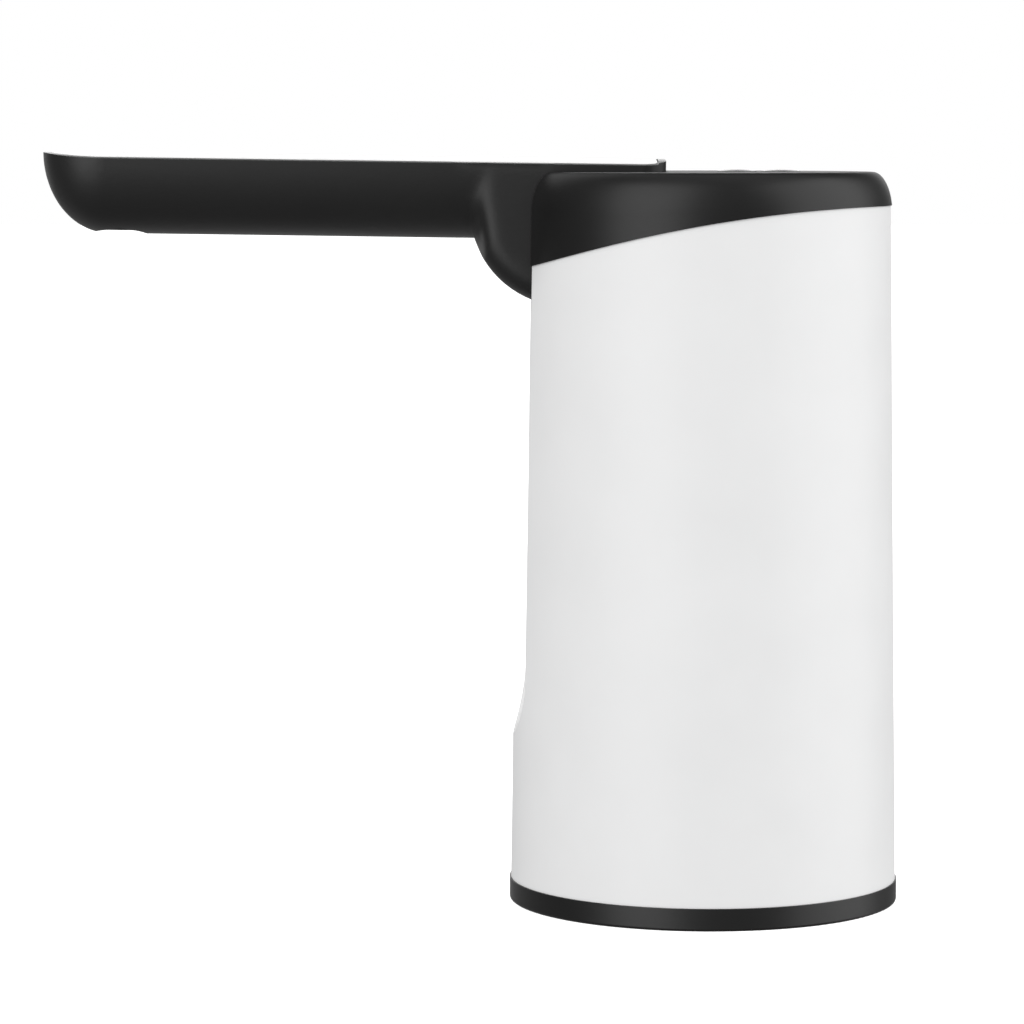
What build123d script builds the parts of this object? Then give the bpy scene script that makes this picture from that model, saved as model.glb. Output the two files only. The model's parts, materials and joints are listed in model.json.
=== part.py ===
from build123d import *
import os
from math import atan2, cos, degrees, hypot, radians, sin, tan

# Bottled water pump with a spout arm that folds down into a groove in its body.
# Millimetres, +Z up. The origin is the centre of the foot, on the axis of the body,
# and the open arm points to -X.

# Body
base_diameter = 70
base_ring_height = 4
ring_proud = 0.23
ring_edge = 0.5
body_height = 131.2
sleeve_wall = 1.8
sleeve_draft = 0.78  # degrees, and the rise of the open arm

# Cap
cap_proud = 0.25
cap_wall = 2
cap_round_width = 3.59
cap_round_height = 7.2
seam_radius = 200
seam_crest_reach = 33
seam_drop = 5.95
cap_skirt_depth = 4
cap_skirt_wall = 1.2

# Hinge and groove
hinge_reach = 24.75
hinge_drop = 6.45
groove_gap = 0.45
groove_wall = 1.6
groove_round = 0.8

# Arm
arm_reach = 93.75
arm_half_width = 10.5
arm_underside = 5.62
arm_wall = 2.2
knuckle_radius = 17.4
knuckle_edge = 4.2
lip_rise = 0.28
flare_back = 9
flare_shares = (0, 0.125, 0.25, 0.375, 0.5, 1)
flare_depth_shares = (1, 1.06, 1.27, 1.58, 1.86, 1.92)
flare_powers = (2, 2.04, 2.25, 3, 4.5, 8)
flare_turns = (0, 12, 24, 36, 48, 60, 70, 80)  # degrees
bowl_length = 11.75
rim_height = 8.93
crown_height = 8.7
crown_radius = 61
cover_rim = 1.4
cover_thickness = 1.6
spout_inset = 13.95
spout_seat_radius = 3.6
spout_seat_depth = 0.62
spout_flare = 1.3
rib_thickness = 1.2
rib_shares = (0.34, 0.6)

# Bottle neck
adapter_wall = 2.17
neck_depth = 20
gasket_wall = 2.1
bulkhead = 2

# Pump and motor
pump_x = 12
pump_y = 2
pump_radius = 13.5
cover_height = 7
valve_plate_height = 3
diaphragm_thickness = 1.5
crankcase_height = 15
crankcase_wall = 2.6
crankcase_top = 2
chambers = 3
chamber_radius = 3.2
chamber_reach = 6.6
chamber_depth = 3
cup_height = 1.5
cup_taper = 30  # degrees
pump_screw_reach = 12.2
pump_screw_turn = 60  # degrees
pump_screw_shank = 0.8
pump_screw_head = 1.3
pump_screw_length = 17
valve_radius = 1.9
valve_lip = 0.6
inlet_holes = 4
wobble_tilt = 6  # degrees
wobble_radius = 9.4
wobble_thickness = 1.8
wobble_hub_radius = 2.4
wobble_hub_rise = 2
wobble_leg_radius = 1.3
wobble_leg_length = 2
wobble_lift = 4.6
wobble_pin_radius = 0.9
eccentric_radius = 4.6
eccentric_height = 3.2
motor_radius = 12.2
motor_headroom = 4.4
motor_can_wall = 1
shaft_radius = 1.15
motor_boss_radius = 3
end_cap_height = 3
end_cap_boss = 1.2
magnet_thickness = 2.2
magnet_share = 0.7
armature_radius = 7.8
armature_share = 0.5
armature_slot = 1.8
bearing_wall = 1.6
terminal_length = 3
terminal_width = 2.2
terminal_thickness = 0.5
terminal_reach = 5
terminal_rise = 1.7
collar_window = 20
collar_wall = 1.2
collar_depth = 5
damper_thickness = 1.2

# Frame inside the body
deck_height = 36
deck_thickness = 2
deck_gap = 1.2
post_radius = 3
post_spots = ((14, -22), (-10, 18), (-13.5, -8))
pillar_spots = ((24, -15), (22, 16), (-12, 8))
cap_post_radius = 2.8
cap_post_spots = ((26.5, -8), (8, 26), (8, -26))
switch_post_radius = 1.5
cradle_height = 12
cradle_wall = 1.2
lead_window_length = 8
lead_window_width = 4
lead_window_spot = (14, 20.5)

# Battery and electronics
cell_radius = 9.1
cell_x = -3
cell_y = -20
pad_thickness = 0.5
tab_thickness = 0.3
tab_width = 6
tab_length = 12.5
cell_edge = 0.8
board_y = 25
board_width = 28
board_headroom = 16.1
board_thickness = 1.6
board_rise = 2
board_post_spots = (-11, 11)
board_post_width = 4
board_screw_rise = 4
board_screw_drop = 6
chip_thickness = 1.4
chip_share = 0.45
driver_share = 0.6
capacitor_share = 0.65
connector_share = 0.85
socket_rise = 6
socket_depth = 7
socket_width = 8.94
socket_thickness = 3.16
socket_shell = 0.35
socket_tongue_share = 0.8
slot_margin = 0.4
slot_dish_margin = 2
slot_dish_depth = 0.5
switch_board_drop = 10.8
switch_board_start = -1
switch_board_length = 21
switch_board_width = 14
switch_post_spots = ((9.5, 5), (9.5, -5))
switch_size = 6
switch_height = 3.5
switch_stem = 0.8
wire_radius = 0.65
bend_share = 0.45

# Buttons
button_radius = 3.5
button_spots = (5.6, 13.5)
button_proud = 0.45
button_edge_rise = 0.12
button_travel = 0.6
button_wing = 1.4
button_wing_width = 3
button_wing_height = 1.2

# Water path
port_radius = 3.5
port_depth = 6
port_wall = 2
port_height = 8
stub_radius = 3.4
stub_bore = 2.3
barb_rise = 0.3
barb_share = 0.4
hose_bore = 2.4
hose_wall = 0.9
pipe_bore = 1.4
inlet_stub_share = 0.42
long_stub = 6
riser_x = -2
riser_y = 19.5
riser_ear = 3.6
swivel_radius = 2.75
swivel_bore = 1.6
swivel_inner_end = 1.5
swivel_turn_y = 14.2
swivel_block_height = 6
swivel_block_length = 7.4
swivel_block_width = 6.2
elbow_radius = 6.4
elbow_back = 3.2
hinge_boss_radius = 5.2
seal_boss_start = 6.5
pin_boss_start = 4.6
pin_overhang = 2.2
bushing_wall = 1.1
seal_radius = 0.6
seal_spots = (3, 5.2)
spout_top = 3.6
spout_flange = 4.8
spout_flange_height = 4.2
cover_tab_length = 6
cover_tab_thickness = 1
cover_tab_depth = 3
cover_tab_reach = 6.8
cover_tab_shares = (0.12, 0.45, 0.8)

# Fasteners
screw_shank = 1.3
screw_head = 2.5
screw_head_height = 1.6
screw_length = 9

# Clearances and cuts
fit = 0.1
running = 0.06
free = 0.3
overrun = 5
through = 70  # a cut or form that passes right through the body

# Angles, in degrees
quarter_turn = 90
half_turn = 180

# Worked out from the sizes above
foot_radius = base_diameter / 2 - ring_proud
neck_radius = foot_radius - sleeve_wall - adapter_wall - gasket_wall - 2 * fit
slope = tan(radians(sleeve_draft))
hinge_height = body_height - hinge_drop
groove_half_width = arm_half_width + groove_gap
pocket_radius = knuckle_radius + groove_gap
room_floor = neck_depth + bulkhead
cell_base = deck_height + tab_thickness
upper_deck_top = hinge_height - pocket_radius - groove_wall - deck_gap
upper_deck_base = upper_deck_top - deck_thickness
cell_top = upper_deck_base - pad_thickness - tab_thickness
cell_length = cell_top - cell_base
board_base = deck_height + board_rise
board_height = upper_deck_base - board_headroom - board_base
board_screw_heights = (board_base + board_screw_rise, board_base + board_height - board_screw_drop)
socket_height = board_base + socket_rise
switch_board_height = body_height - switch_board_drop
switch_board_top = switch_board_height + board_thickness
pump_base = deck_height + damper_thickness
valve_base = pump_base + cover_height
diaphragm_base = valve_base + valve_plate_height
crankcase_base = diaphragm_base + diaphragm_thickness
motor_base = crankcase_base + crankcase_height
motor_length = upper_deck_base - motor_headroom - end_cap_height - motor_base
end_cap_base = motor_base + motor_length
spout_along = arm_reach - spout_inset
hose_radius = hose_bore + hose_wall
inner_stub = hose_bore - running - barb_rise
wobble_top = wobble_lift + wobble_thickness + wobble_hub_rise
eccentric_base = crankcase_base + wobble_top + running + wobble_hub_radius * sin(radians(wobble_tilt))
cheek = groove_half_width + groove_wall
bearing_top = motor_base + motor_can_wall
bearing_radius = shaft_radius + bearing_wall / 2
end_cap_top = end_cap_base + end_cap_height
cap_bearing_top = end_cap_top + end_cap_boss - bearing_wall / 2
spout_mouth = spout_seat_depth - arm_underside
board_back = board_y + board_thickness
socket_inner_width = socket_width - 2 * socket_shell
socket_inner_thickness = socket_thickness - 2 * socket_shell
slot_width = socket_width + 2 * slot_margin
slot_height = socket_thickness + 2 * slot_margin
port_top = neck_depth + port_height
inlet_stub = (pump_base - port_top) * inlet_stub_share
pump_axis = Vector(pump_x, pump_y, 0)

forward = Vector(-cos(radians(sleeve_draft)), 0, sin(radians(sleeve_draft)))
upward = Vector(sin(radians(sleeve_draft)), 0, cos(radians(sleeve_draft)))
hinge = Vector(-hinge_reach, 0, hinge_height)
outward = Vector(0, 1, 0)

arm_side = Plane(origin=hinge, x_dir=forward, z_dir=outward)


def arm_section(along):
    """Plane square to the arm, looking from the hinge to the tip."""
    return Plane(origin=hinge + forward * along, x_dir=-outward, z_dir=forward)


def arm_plan(up):
    """Plane level with the open arm, at a height above the hinge."""
    return Plane(origin=hinge + upward * up, x_dir=forward, z_dir=upward)


def wall_radius(height, inset=0):
    """Radius of the tapered body at a height, less an inset."""
    return foot_radius - slope * (height - base_ring_height) - inset


def tapered(bottom, top, inset):
    """Solid cone frustum that follows the body's taper, set in from its surface."""
    with BuildPart() as form:
        with BuildSketch(Plane.XZ):
            with BuildLine():
                Polyline(
                    (0, bottom),
                    (wall_radius(bottom, inset), bottom),
                    (wall_radius(top, inset), top),
                    (0, top),
                    close=True,
                )
            make_face()
        revolve(axis=Axis.Z)
    return form.part


def above_seam(drop):
    """Everything above the curved seam of the cap, lowered by a drop."""
    with BuildPart() as form:
        with BuildSketch(Plane.XZ):
            with Locations((0, body_height)):
                Rectangle(2 * through, 2 * through)
            with Locations((seam_crest_reach, body_height - seam_drop - drop - seam_radius)):
                Circle(seam_radius, mode=Mode.SUBTRACT)
        extrude(amount=through, both=True)
    return form.part


def groove_form(grow):
    """Groove for the folded arm and pocket for its knuckle, made larger by a wall."""
    half_width = groove_half_width + grow
    radius = pocket_radius + grow
    end = arm_reach + groove_gap - groove_half_width
    rise = hinge_drop + overrun
    floor = Plane(
        origin=hinge - forward * (arm_underside + groove_gap + grow),
        x_dir=outward,
        z_dir=forward,
    )
    with BuildPart() as form:
        with BuildSketch(floor):
            with Locations((0, (end - rise) / 2)):
                Rectangle(2 * half_width, end + rise)
            with Locations((0, end)):
                Circle(half_width)
        extrude(amount=through)
        with BuildSketch(Plane.XZ):
            with Locations((-hinge_reach, hinge_height)):
                Circle(radius)
            with Locations((-hinge_reach, hinge_height + rise / 2)):
                Rectangle(2 * radius, rise)
        extrude(amount=half_width, both=True)
    return form.part


def knuckle_form(inset):
    """Knuckle of the arm, round below and upright at both ends, set in by a wall."""
    radius = knuckle_radius - inset
    with BuildPart() as form:
        with BuildSketch(arm_side):
            Circle(radius)
            with Locations((0, rim_height / 2)):
                Rectangle(2 * radius, rim_height)
            with Locations((0, rim_height + radius)):
                Rectangle(2 * radius, 2 * radius, mode=Mode.SUBTRACT)
        extrude(amount=arm_half_width - inset, both=True)
        sides = form.faces().filter_by(Axis.Y)
        rim = sides.edges().filter_by(lambda edge: (edge.center() - hinge).dot(upward) < rim_height - fit)
        fillet(rim, radius=knuckle_edge - inset)
    return form.part


def bowl_form(inset):
    """Half bowl at the tip of the arm, longer than it is wide."""
    length = bowl_length - inset
    depth = rim_height + arm_underside - inset
    center = arm_reach - bowl_length
    with BuildPart() as form:
        with BuildSketch(arm_section(center)):
            with BuildLine():
                EllipticalCenterArc(
                    (0, rim_height), length, depth, start_angle=-quarter_turn, arc_size=quarter_turn
                )
                Line((length, rim_height), (0, rim_height))
                Line((0, rim_height), (0, rim_height - depth))
            make_face()
        revolve(axis=Axis(arm_section(center).origin, upward), revolution_arc=-half_turn)
        scale(by=(1, (arm_half_width - inset) / length, 1))
    return form.part


def trough_form(inset):
    """Boat shape of the arm from the hinge to its tip, set in by a wall."""
    center = arm_reach - bowl_length
    depth = rim_height + arm_underside - inset
    with BuildPart() as form:
        with BuildSketch(arm_section(0)):
            with BuildLine():
                arc = EllipticalCenterArc(
                    (0, rim_height), arm_half_width - inset, depth, start_angle=half_turn, arc_size=half_turn
                )
                Line(arc @ 1, arc @ 0)
            make_face()
        extrude(amount=center)
        add(bowl_form(inset))
    return form.part


def below_crown(drop):
    """Round bar whose top is the crowned top of the arm, lowered by a drop."""
    with BuildPart() as form:
        with BuildSketch(arm_section(-knuckle_radius - overrun)):
            with Locations((0, crown_height - crown_radius)):
                Circle(crown_radius - drop)
        extrude(amount=knuckle_radius + arm_reach + 2 * overrun)
    return form.part


def flare_section(along, depth, power):
    """Section of the arm that turns from the trough's ellipse into the knuckle's box."""
    edge = []
    for turn in flare_turns:
        across = arm_half_width * cos(radians(turn)) ** (2 / power)
        edge.append((across, rim_height - depth * sin(radians(turn)) ** (2 / power)))
    mirrored = [(-across, up) for across, up in reversed(edge)]
    with BuildSketch(arm_section(along)) as section:
        with BuildLine():
            outline = Spline(*edge, (0, rim_height - depth), *mirrored, tangents=((0, -1), (0, 1)))
            Line(outline @ 1, outline @ 0)
        make_face()
    return section.sketch


def flared_knuckle():
    """Knuckle whose front swells smoothly out of the sides of the trough."""
    depth = rim_height + arm_underside
    with BuildPart() as swell:
        for share, depth_share, power in zip(flare_shares, flare_depth_shares, flare_powers):
            along = knuckle_radius - share * (knuckle_radius - flare_back)
            add(flare_section(along, depth * depth_share, power))
        loft()
    with BuildPart() as sides:
        with BuildSketch(arm_section(flare_back)):
            Rectangle(through, through)
        extrude(amount=knuckle_radius - flare_back)
        add(swell.part, mode=Mode.SUBTRACT)
    with BuildPart() as form:
        add(knuckle_form(0))
        add(sides.part, mode=Mode.SUBTRACT)
    return form.part


def arm_top():
    """Everything below the crowned top of the arm, with the low lip at its back end."""
    with BuildPart() as form:
        add(below_crown(-lip_rise))
        with BuildSketch(arm_section(cover_rim - knuckle_radius)):
            Rectangle(2 * through, 2 * through)
        extrude(amount=-cover_rim - overrun, mode=Mode.INTERSECT)
        add(below_crown(0))
    return form.part


def mouth_edges(part, depth):
    """Outer edges along both sides of the groove, no deeper than stated below the body's surface."""
    def outside(edge):
        middle = edge.center()
        near = hypot(middle.X, middle.Y) > wall_radius(middle.Z) - depth or middle.Z > body_height - fit
        return near and abs(abs(middle.Y) - groove_half_width) < fit
    return part.edges().filter_by(outside)


def rod(plane, radius, length=through):
    """Round bar that starts on a plane."""
    with BuildPart() as form:
        with BuildSketch(plane):
            Circle(radius)
        extrude(amount=length)
    return form.part


def stub(origin, direction, length, bore, radius):
    """Hose stub with one barb at its mouth, from a point outwards."""
    across = Plane(origin=origin, z_dir=direction).x_dir
    profile = Plane(origin=origin, x_dir=across, z_dir=across.cross(direction))
    mouth = length * (1 - barb_share)
    with BuildPart() as form:
        with BuildSketch(profile):
            with BuildLine():
                Polyline(
                    (bore, 0),
                    (radius, 0),
                    (radius, mouth),
                    (radius + barb_rise, mouth),
                    (radius, length),
                    (bore, length),
                    close=True,
                )
            make_face()
        revolve(axis=Axis(origin, direction))
    return form.part


def hose(points, bends, bore, radius):
    """Tube along straight runs joined by arcs, or a solid lead where the bore is zero."""
    with BuildPart() as form:
        with BuildLine() as route:
            if bends:
                FilletPolyline(*points, radius=bends)
            else:
                Line(*points)
        with BuildSketch(Plane(origin=route.line @ 0, z_dir=route.line % 0)):
            Circle(radius)
            if bore:
                Circle(bore, mode=Mode.SUBTRACT)
        sweep()
    return form.part


def screws(plane, spots, head, head_height, shank, length):
    """Pan head screws whose heads stand on a plane and whose shanks go down from it."""
    with BuildPart() as form:
        with BuildSketch(plane):
            with Locations(spots):
                Circle(head)
        extrude(amount=head_height)
        with BuildSketch(plane):
            with Locations(spots):
                Circle(shank)
        extrude(amount=-length)
    return form.part


def cut_holes(plane, spots, radius, length):
    """Round holes to take away, down from a plane."""
    with BuildPart() as form:
        with BuildSketch(plane):
            with Locations(spots):
                Circle(radius)
        extrude(amount=-length)
    return form.part


def pump_plane(height):
    """Level plane whose origin is on the axis of the pump."""
    return Plane(origin=pump_axis + Vector(0, 0, height))


def write(name, label):
    name.part.label = label
    export_step(name.part, "parts/" + label + ".step")


os.makedirs("parts", exist_ok=True)


def sleeve_room():
    """Room inside the sleeve, which leaves the walls of the groove standing."""
    with BuildPart() as form:
        add(tapered(base_ring_height - overrun, body_height + overrun, sleeve_wall))
        add(groove_form(groove_wall), mode=Mode.SUBTRACT)
    return form.part


# Outer sleeve: thin tapered tube with the groove moulded into its front
with BuildPart() as outer_sleeve:
    add(tapered(base_ring_height, body_height, 0))
    add(groove_form(0), mode=Mode.SUBTRACT)
    fillet(mouth_edges(outer_sleeve, sleeve_wall), radius=groove_round)
    add(sleeve_room(), mode=Mode.SUBTRACT)
    add(above_seam(0), mode=Mode.SUBTRACT)
    with BuildSketch(Plane.XZ.offset(-through)):
        with Locations((0, socket_height)):
            SlotOverall(slot_width, slot_height)
    extrude(amount=through, mode=Mode.SUBTRACT)
    with BuildSketch(Plane.XZ.offset(slot_dish_depth - wall_radius(socket_height))):
        with Locations((0, socket_height)):
            SlotOverall(slot_width + 2 * slot_dish_margin, slot_height + 2 * slot_dish_margin)
    extrude(amount=-through, mode=Mode.SUBTRACT)
write(outer_sleeve, "outer_sleeve")

# Base ring under the sleeve
with BuildPart() as base_ring:
    Cylinder(base_diameter / 2, base_ring_height, align=(Align.CENTER, Align.CENTER, Align.MIN))
    fillet(base_ring.edges().group_by(Axis.Z)[0], radius=ring_edge)
    add(tapered(-overrun, base_ring_height + overrun, sleeve_wall), mode=Mode.SUBTRACT)
write(base_ring, "base_ring")


def cap_solid(inset):
    """Outer form of the cap: flat top, elliptical shoulder and tapered side."""
    shoulder = body_height - cap_round_height
    side = wall_radius(shoulder, -cap_proud)
    flat = side - cap_round_width
    foot = body_height / 2
    with BuildPart() as form:
        with BuildSketch(Plane.XZ):
            with BuildLine():
                Polyline(
                    (side - inset, shoulder),
                    (wall_radius(foot, -cap_proud) - inset, foot),
                    (0, foot),
                    (0, body_height - inset),
                    (flat, body_height - inset),
                )
                EllipticalCenterArc(
                    (flat, shoulder),
                    cap_round_width - inset,
                    cap_round_height - inset,
                    start_angle=0,
                    arc_size=quarter_turn,
                )
            make_face()
        revolve(axis=Axis.Z)
    return form.part


def cap_room():
    """Room inside the cap, which leaves the walls of the pocket standing."""
    with BuildPart() as form:
        add(cap_solid(cap_wall))
        add(groove_form(groove_wall), mode=Mode.SUBTRACT)
    return form.part


def sleeve_space():
    """Space below the seam that the wall of the sleeve takes, with its clearance."""
    with BuildPart() as form:
        add(tapered(0, body_height, -overrun))
        add(tapered(-overrun, body_height + overrun, sleeve_wall + fit), mode=Mode.SUBTRACT)
        add(above_seam(0), mode=Mode.SUBTRACT)
    return form.part


def cap_skirt():
    """Thin skirt that reaches down inside the sleeve."""
    low = hinge_height / 2
    with BuildPart() as form:
        add(tapered(low, body_height, cap_wall / 2))
        add(tapered(low, body_height, sleeve_wall + fit + cap_skirt_wall), mode=Mode.SUBTRACT)
        add(above_seam(cap_skirt_depth), mode=Mode.INTERSECT)
        add(above_seam(-cap_wall), mode=Mode.SUBTRACT)
        add(sleeve_space(), mode=Mode.SUBTRACT)
        add(groove_form(groove_wall + fit), mode=Mode.SUBTRACT)
    return form.part


# Top cap: black shell with the slot for the knuckle, posts for the deck and two button holes
with BuildPart() as top_cap:
    add(cap_solid(0))
    add(groove_form(0), mode=Mode.SUBTRACT)
    fillet(mouth_edges(top_cap, cap_round_width), radius=groove_round)
    add(cap_room(), mode=Mode.SUBTRACT)
    add(above_seam(0), mode=Mode.INTERSECT)
    add(cap_skirt())
    with BuildSketch(Plane.XY.offset(upper_deck_top)):
        with Locations(cap_post_spots):
            Circle(cap_post_radius)
    extrude(amount=body_height - cap_wall / 2 - upper_deck_top)
    with BuildSketch(Plane.XY.offset(upper_deck_top)):
        with Locations(cap_post_spots):
            Circle(screw_shank + running)
    extrude(amount=screw_length, mode=Mode.SUBTRACT)
    with BuildSketch(Plane.XY.offset(switch_board_top)):
        with Locations(switch_post_spots):
            Circle(switch_post_radius)
    extrude(amount=body_height - cap_wall / 2 - switch_board_top)
    with BuildSketch(Plane.XY.offset(switch_board_top)):
        with Locations(switch_post_spots):
            Circle(pump_screw_shank + running)
    extrude(amount=switch_size, mode=Mode.SUBTRACT)
    with BuildSketch(Plane.XY.offset(body_height)):
        with Locations([(spot, 0) for spot in button_spots]):
            Circle(button_radius + free)
    extrude(amount=-cap_wall, mode=Mode.SUBTRACT)
    with BuildSketch(Plane.XZ):
        with Locations((-hinge_reach, hinge_height)):
            Circle(swivel_radius + running)
    extrude(amount=cheek + fit, both=True, mode=Mode.SUBTRACT)
write(top_cap, "top_cap")


def cover_seat(inset, drop):
    """What lies above a lowered crown inside the rim: the room of the arm cover."""
    with BuildPart() as form:
        add(knuckle_form(inset))
        add(trough_form(inset))
        add(below_crown(drop), mode=Mode.SUBTRACT)
    return form.part


def arm_room():
    """Hollow of the knuckle and the trough."""
    with BuildPart() as form:
        add(knuckle_form(arm_wall))
        add(trough_form(arm_wall))
    return form.part


def spout_seat():
    """Shallow dish under the tip, round the mouth of the spout."""
    bottom = -arm_underside - overrun
    edge = spout_along + spout_seat_radius
    flare = edge + spout_flare
    turn = -arm_underside - spout_seat_depth
    with BuildPart() as form:
        with BuildSketch(arm_side):
            with BuildLine():
                Polyline(
                    (edge, spout_mouth),
                    (spout_along, spout_mouth),
                    (spout_along, bottom),
                    (flare, bottom),
                    (flare, turn),
                )
                TangentArc((flare, turn), (edge, spout_mouth), tangent=(0, 1))
            make_face()
        revolve(axis=Axis(arm_section(spout_along).origin, upward))
    return form.part


def cross_ribs():
    """Two saddle ribs across the trough that hold the water tube."""
    with BuildPart() as form:
        for share in rib_shares:
            with BuildSketch(arm_section(share * arm_reach)):
                with Locations((0, -arm_underside / 2)):
                    Rectangle(2 * arm_half_width, arm_underside)
            extrude(amount=rib_thickness / 2, both=True)
        add(trough_form(arm_wall / 2), mode=Mode.INTERSECT)
        add(rod(arm_section(0), hose_radius + fit, arm_reach), mode=Mode.SUBTRACT)
    return form.part


# Arm shell: knuckle and boat-shaped trough in one moulding, open on top
with BuildPart() as arm_shell:
    add(flared_knuckle())
    add(trough_form(0))
    add(arm_top(), mode=Mode.INTERSECT)
    add(arm_room(), mode=Mode.SUBTRACT)
    add(cover_seat(cover_rim, cover_thickness + fit), mode=Mode.SUBTRACT)
    add(cross_ribs())
    for side, start in ((1, seal_boss_start), (-1, pin_boss_start)):
        with BuildSketch(Plane.XZ.offset(-side * start)):
            with Locations((-hinge_reach, hinge_height)):
                Circle(hinge_boss_radius)
        extrude(amount=-side * (arm_half_width - arm_wall / 2 - start))
    with BuildSketch(Plane.XZ):
        with Locations((-hinge_reach, hinge_height)):
            Circle(swivel_radius + bushing_wall + running)
    extrude(amount=through, both=True, mode=Mode.SUBTRACT)
    add(spout_seat(), mode=Mode.SUBTRACT)
    with BuildSketch(arm_plan(0)):
        with Locations((spout_along, 0)):
            Circle(stub_radius + running)
    extrude(amount=-2 * arm_underside, mode=Mode.SUBTRACT)
write(arm_shell, "arm_shell")


def cover_tabs():
    """Snap tabs that reach down inside the walls of the trough."""
    with BuildPart() as form:
        with BuildSketch(arm_plan(crown_height - cover_thickness / 2)):
            for share in cover_tab_shares:
                with Locations((share * arm_reach, cover_tab_reach), (share * arm_reach, -cover_tab_reach)):
                    Rectangle(cover_tab_length, cover_tab_thickness)
        extrude(amount=-cover_tab_depth - cover_thickness / 2)
    return form.part


# Arm cover: white crowned strip inlaid in the rim of the arm, with snap tabs under it
with BuildPart() as arm_cover:
    add(cover_seat(cover_rim + fit, cover_thickness))
    add(cover_tabs())
    add(below_crown(0), mode=Mode.INTERSECT)
write(arm_cover, "arm_cover")

# Swivel elbow: turns the water from the hinge into the tube of the arm
with BuildPart() as swivel_elbow:
    add(rod(Plane(origin=hinge - outward * elbow_back, z_dir=outward), elbow_radius,
            elbow_back + seal_boss_start))
    add(stub(hinge + forward * (elbow_radius - running), forward, long_stub, 0, inner_stub))
    add(rod(Plane(origin=hinge - outward * pipe_bore, z_dir=outward), swivel_radius + running),
        mode=Mode.SUBTRACT)
    for spot in seal_spots:
        add(
            rod(
                Plane(origin=hinge + outward * (spot - seal_radius - running), z_dir=outward),
                swivel_radius + 2 * running + 2 * seal_radius,
                2 * (seal_radius + running),
            ),
            mode=Mode.SUBTRACT,
        )
    add(rod(arm_section(0), pipe_bore), mode=Mode.SUBTRACT)
write(swivel_elbow, "swivel_elbow")

# Swivel seals: two rings on the hollow pin
with BuildPart() as swivel_seals:
    for spot in seal_spots:
        with BuildSketch(Plane(origin=hinge + outward * spot, x_dir=forward, z_dir=upward)):
            with Locations((swivel_radius + running + seal_radius, 0)):
                Circle(seal_radius)
    revolve(axis=Axis(hinge, outward))
write(swivel_seals, "swivel_seals")

# Hinge bushings in the two bosses of the knuckle
with BuildPart() as hinge_bushings:
    for side, start in ((1, seal_boss_start), (-1, pin_boss_start)):
        with BuildSketch(Plane(origin=hinge + outward * side * start, z_dir=outward * side)):
            Circle(swivel_radius + bushing_wall)
            Circle(swivel_radius + running, mode=Mode.SUBTRACT)
        extrude(amount=arm_half_width - start)
write(hinge_bushings, "hinge_bushings")

# Spout: elbow with its mouth in the dish under the tip
with BuildPart() as spout:
    with BuildSketch(arm_plan(spout_mouth)):
        with Locations((spout_along, 0)):
            Circle(spout_flange)
    extrude(amount=spout_flange_height)
    add(trough_form(arm_wall + running), mode=Mode.INTERSECT)
    with BuildSketch(arm_plan(spout_mouth)):
        with Locations((spout_along, 0)):
            Circle(stub_radius)
    extrude(amount=spout_top - spout_mouth)
    add(stub(hinge + forward * (spout_along - stub_radius + running), -forward,
             long_stub + spout_flange - stub_radius, 0, inner_stub))
    with BuildSketch(arm_plan(spout_mouth)):
        with Locations((spout_along, 0)):
            Circle(stub_bore)
    extrude(amount=pipe_bore - spout_mouth, mode=Mode.SUBTRACT)
    add(rod(arm_section(spout_along), pipe_bore, -through), mode=Mode.SUBTRACT)
write(spout, "spout")

# Arm tube between the elbow at the hinge and the spout
with BuildPart() as arm_tube:
    with BuildSketch(arm_section(elbow_radius + running)):
        Circle(hose_radius)
        Circle(hose_bore, mode=Mode.SUBTRACT)
    extrude(amount=spout_along - spout_flange - elbow_radius - 2 * running)
write(arm_tube, "arm_tube")

# Hinge pin on the side away from the water
with BuildPart() as hinge_pin:
    add(rod(Plane(origin=hinge - outward * pin_boss_start, z_dir=-outward), swivel_radius,
            cheek + pin_overhang - pin_boss_start))
    chamfer(hinge_pin.edges().filter_by(GeomType.CIRCLE), length=fit)
write(hinge_pin, "hinge_pin")


def inner_room(height, inset):
    """Outline of the room inside the sleeve at a height, clear of the groove's walls."""
    with BuildPart() as form:
        add(tapered(height, height + deck_thickness, sleeve_wall + inset))
        add(groove_form(groove_wall + inset), mode=Mode.SUBTRACT)
    return form.part


# Neck adapter: cup for the bottle's neck, closed above by a bulkhead with posts for the frame
with BuildPart() as neck_adapter:
    add(tapered(0, room_floor, sleeve_wall + fit))
    with BuildSketch(Plane.XY):
        Circle(neck_radius + gasket_wall + fit)
    extrude(amount=neck_depth, mode=Mode.SUBTRACT)
    with BuildSketch(Plane.XY.offset(room_floor)):
        with Locations(post_spots):
            Circle(post_radius)
    extrude(amount=deck_height - deck_thickness - room_floor)
    add(cut_holes(Plane.XY.offset(deck_height), post_spots, screw_shank + running, screw_length + fit),
        mode=Mode.SUBTRACT)
    add(cut_holes(Plane.XY.offset(room_floor), [(pump_x, pump_y)], port_radius + port_wall + running,
                  overrun), mode=Mode.SUBTRACT)
write(neck_adapter, "neck_adapter")

# Neck gasket: soft ring that grips the bottle
with BuildPart() as neck_gasket:
    with BuildSketch(Plane.XY):
        Circle(neck_radius + gasket_wall)
        Circle(neck_radius, mode=Mode.SUBTRACT)
    extrude(amount=neck_depth)
write(neck_gasket, "neck_gasket")

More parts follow.
